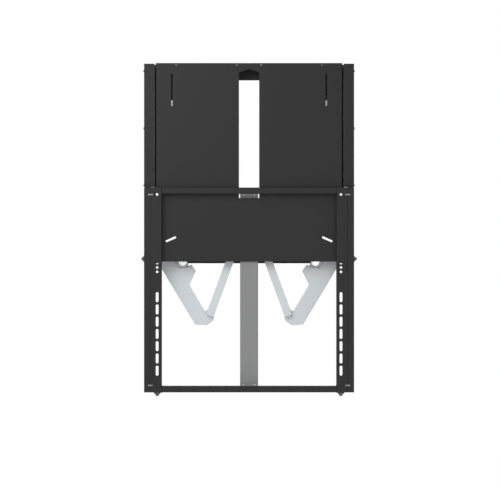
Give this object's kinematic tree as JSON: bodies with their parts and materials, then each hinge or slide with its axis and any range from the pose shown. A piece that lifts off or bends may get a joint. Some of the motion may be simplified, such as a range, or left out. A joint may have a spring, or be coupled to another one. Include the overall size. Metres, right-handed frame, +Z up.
{
  "type": "tv wall mount",
  "caption": "Counterbalanced wall mount that slides a display up and down on a spring-loaded carriage in front of a flat wall box.",
  "frame": {"origin": "centre of the four outer wall bolts, on the wall plane", "axes": "+X to the viewer's right, -Y towards the viewer, +Y into the wall, +Z up; the carriage is at the bottom of its travel"},
  "size_m": [0.709, 0.1115, 1.089],
  "materials": {
    "black_coat": "fine-texture powder coat, black",
    "silver_coat": "smooth light silver-grey coat",
    "grey_coat": "plain mid-grey coat",
    "zinc_plate": "bright zinc plate",
    "black_steel": "black oxide",
    "spring_steel": "dark oiled spring wire",
    "nylon": "natural nylon",
    "rubber": "black rubber"
  },
  "bodies": {
    "wall_unit": {"arm_pivot_pin_left": "zinc_plate", "arm_pivot_pin_right": "zinc_plate", "bottom_beam": "black_coat", "corner_bracket_left": "grey_coat", "corner_bracket_right": "grey_coat", "cover_screws": "black_coat", "front_cover": "black_coat", "lower_stops": "rubber", "roller_guide_left": "zinc_plate", "roller_guide_right": "zinc_plate", "side_cover_left": "black_coat", "side_cover_right": "black_coat", "side_cover_screws": "black_steel", "side_flange_bolts": "black_steel", "spring_anchor_left": "grey_coat", "spring_anchor_right": "grey_coat", "thrust_washers": "zinc_plate", "top_beam": "black_coat", "upper_stops": "rubber", "upright_left": "black_coat", "upright_right": "black_coat"},
    "carriage": {"rail_left": "black_coat", "rail_right": "black_coat", "top_crossbar": "black_coat", "bottom_crossbar": "black_coat", "spine": "grey_coat", "link_bracket": "grey_coat", "roller_plate_left": "grey_coat", "roller_plate_right": "grey_coat", "roller_axles": "zinc_plate", "window_clips": "zinc_plate", "plate_screws": "zinc_plate", "spine_screws": "zinc_plate", "rail_flange_bolts": "black_steel", "link_pins": "zinc_plate"},
    "roller_upper_left": {"roller_upper_left": "nylon"},
    "roller_lower_left": {"roller_lower_left": "nylon"},
    "outer_arm_left": {"outer_arm_left": "silver_coat", "spring_lug_left": "silver_coat", "arm_pins_left": "zinc_plate"},
    "inner_link_left": {"inner_link_left": "silver_coat"},
    "tension_screw_left": {"tension_screw_left": "black_steel"},
    "tension_nut_left": {"tension_nut_left": "zinc_plate", "yoke_pin_left": "zinc_plate"},
    "spring_left": {"spring_left": "spring_steel", "spring_top_plug_left": "zinc_plate"},
    "pull_rod_left": {"pull_rod_left": "zinc_plate"},
    "roller_upper_right": {"roller_upper_right": "nylon"},
    "roller_lower_right": {"roller_lower_right": "nylon"},
    "outer_arm_right": {"outer_arm_right": "silver_coat", "spring_lug_right": "silver_coat", "arm_pins_right": "zinc_plate"},
    "inner_link_right": {"inner_link_right": "silver_coat"},
    "tension_screw_right": {"tension_screw_right": "black_steel"},
    "tension_nut_right": {"tension_nut_right": "zinc_plate", "yoke_pin_right": "zinc_plate"},
    "spring_right": {"spring_right": "spring_steel", "spring_top_plug_right": "zinc_plate"},
    "pull_rod_right": {"pull_rod_right": "zinc_plate"}
  },
  "joints": [
    {"name": "carriage_slide", "type": "slide", "parent": "wall_unit", "child": "carriage", "axis": [0, 0, 1], "range_m": [0, 0.4], "deforming": ["spring_left", "spring_right"]},
    {"name": "outer_arm_left_pivot", "type": "hinge", "parent": "wall_unit", "child": "outer_arm_left", "pos_m": [-0.29, -0.0215, -0.286], "axis": [0, -1, 0], "range_deg": [0, 97.05]},
    {"name": "inner_link_left_pivot", "type": "hinge", "parent": "carriage", "child": "inner_link_left", "pos_m": [-0.019, -0.0333, -0.20055], "axis": [0, -1, 0], "range_deg": [0, 3.87]},
    {"name": "roller_upper_left_spin", "type": "hinge", "parent": "carriage", "child": "roller_upper_left", "pos_m": [-0.32, -0.053, -0.105], "axis": [1, 0, 0], "range_deg": [0, 1389]},
    {"name": "roller_lower_left_spin", "type": "hinge", "parent": "carriage", "child": "roller_lower_left", "pos_m": [-0.32, -0.053, -0.298], "axis": [-1, 0, 0], "range_deg": [0, 1389]},
    {"name": "tension_screw_left_turn", "type": "hinge", "parent": "wall_unit", "child": "tension_screw_left", "pos_m": [-0.253, -0.044, 0.3], "axis": [0, 0, 1], "range_deg": [0, 10200.5]},
    {"name": "tension_nut_left_slide", "type": "slide", "parent": "wall_unit", "child": "tension_nut_left", "axis": [0, 0, 1], "range_m": [0, 0.085]},
    {"name": "spring_left_swing", "type": "hinge", "parent": "tension_nut_left", "child": "spring_left", "pos_m": [-0.253, -0.044, 0.075], "axis": [0, 1, 0], "range_deg": [0, 6.65]},
    {"name": "pull_rod_left_pivot", "type": "hinge", "parent": "outer_arm_left", "child": "pull_rod_left", "pos_m": [-0.218, -0.044, -0.324], "axis": [0, 1, 0], "range_deg": [0, 103.69]},
    {"name": "outer_arm_right_pivot", "type": "hinge", "parent": "wall_unit", "child": "outer_arm_right", "pos_m": [0.29, -0.0215, -0.286], "axis": [0, 1, 0], "range_deg": [0, 97.05]},
    {"name": "inner_link_right_pivot", "type": "hinge", "parent": "carriage", "child": "inner_link_right", "pos_m": [0.019, -0.0333, -0.20055], "axis": [0, 1, 0], "range_deg": [0, 3.87]},
    {"name": "roller_upper_right_spin", "type": "hinge", "parent": "carriage", "child": "roller_upper_right", "pos_m": [0.32, -0.053, -0.105], "axis": [1, 0, 0], "range_deg": [0, 1389]},
    {"name": "roller_lower_right_spin", "type": "hinge", "parent": "carriage", "child": "roller_lower_right", "pos_m": [0.32, -0.053, -0.298], "axis": [-1, 0, 0], "range_deg": [0, 1389]},
    {"name": "tension_screw_right_turn", "type": "hinge", "parent": "wall_unit", "child": "tension_screw_right", "pos_m": [0.253, -0.044, 0.3], "axis": [0, 0, 1], "range_deg": [0, 10200.5]},
    {"name": "tension_nut_right_slide", "type": "slide", "parent": "wall_unit", "child": "tension_nut_right", "axis": [0, 0, 1], "range_m": [0, 0.085]},
    {"name": "spring_right_swing", "type": "hinge", "parent": "tension_nut_right", "child": "spring_right", "pos_m": [0.253, -0.044, 0.075], "axis": [0, -1, 0], "range_deg": [0, 6.65]},
    {"name": "pull_rod_right_pivot", "type": "hinge", "parent": "outer_arm_right", "child": "pull_rod_right", "pos_m": [0.218, -0.044, -0.324], "axis": [0, -1, 0], "range_deg": [0, 103.69]}
  ],
  "couplings": [
    {"joint": "outer_arm_left_pivot", "follows": "carriage_slide", "rad_per_m": 4.2342},
    {"joint": "inner_link_left_pivot", "follows": "carriage_slide", "rad_per_m": 0.1686},
    {"joint": "roller_upper_left_spin", "follows": "carriage_slide", "rad_per_m": 60.606},
    {"joint": "roller_lower_left_spin", "follows": "carriage_slide", "rad_per_m": 60.606},
    {"joint": "tension_screw_left_turn", "follows": "tension_nut_left_slide", "rad_per_m": 2094.4},
    {"joint": "spring_left_swing", "follows": "carriage_slide", "rad_per_m": 0.2899},
    {"joint": "pull_rod_left_pivot", "follows": "carriage_slide", "rad_per_m": 4.5241},
    {"joint": "outer_arm_right_pivot", "follows": "carriage_slide", "rad_per_m": 4.2342},
    {"joint": "inner_link_right_pivot", "follows": "carriage_slide", "rad_per_m": 0.1686},
    {"joint": "roller_upper_right_spin", "follows": "carriage_slide", "rad_per_m": 60.606},
    {"joint": "roller_lower_right_spin", "follows": "carriage_slide", "rad_per_m": 60.606},
    {"joint": "tension_screw_right_turn", "follows": "tension_nut_right_slide", "rad_per_m": 2094.4},
    {"joint": "spring_right_swing", "follows": "carriage_slide", "rad_per_m": 0.2899},
    {"joint": "pull_rod_right_pivot", "follows": "carriage_slide", "rad_per_m": 4.5241}
  ]
}
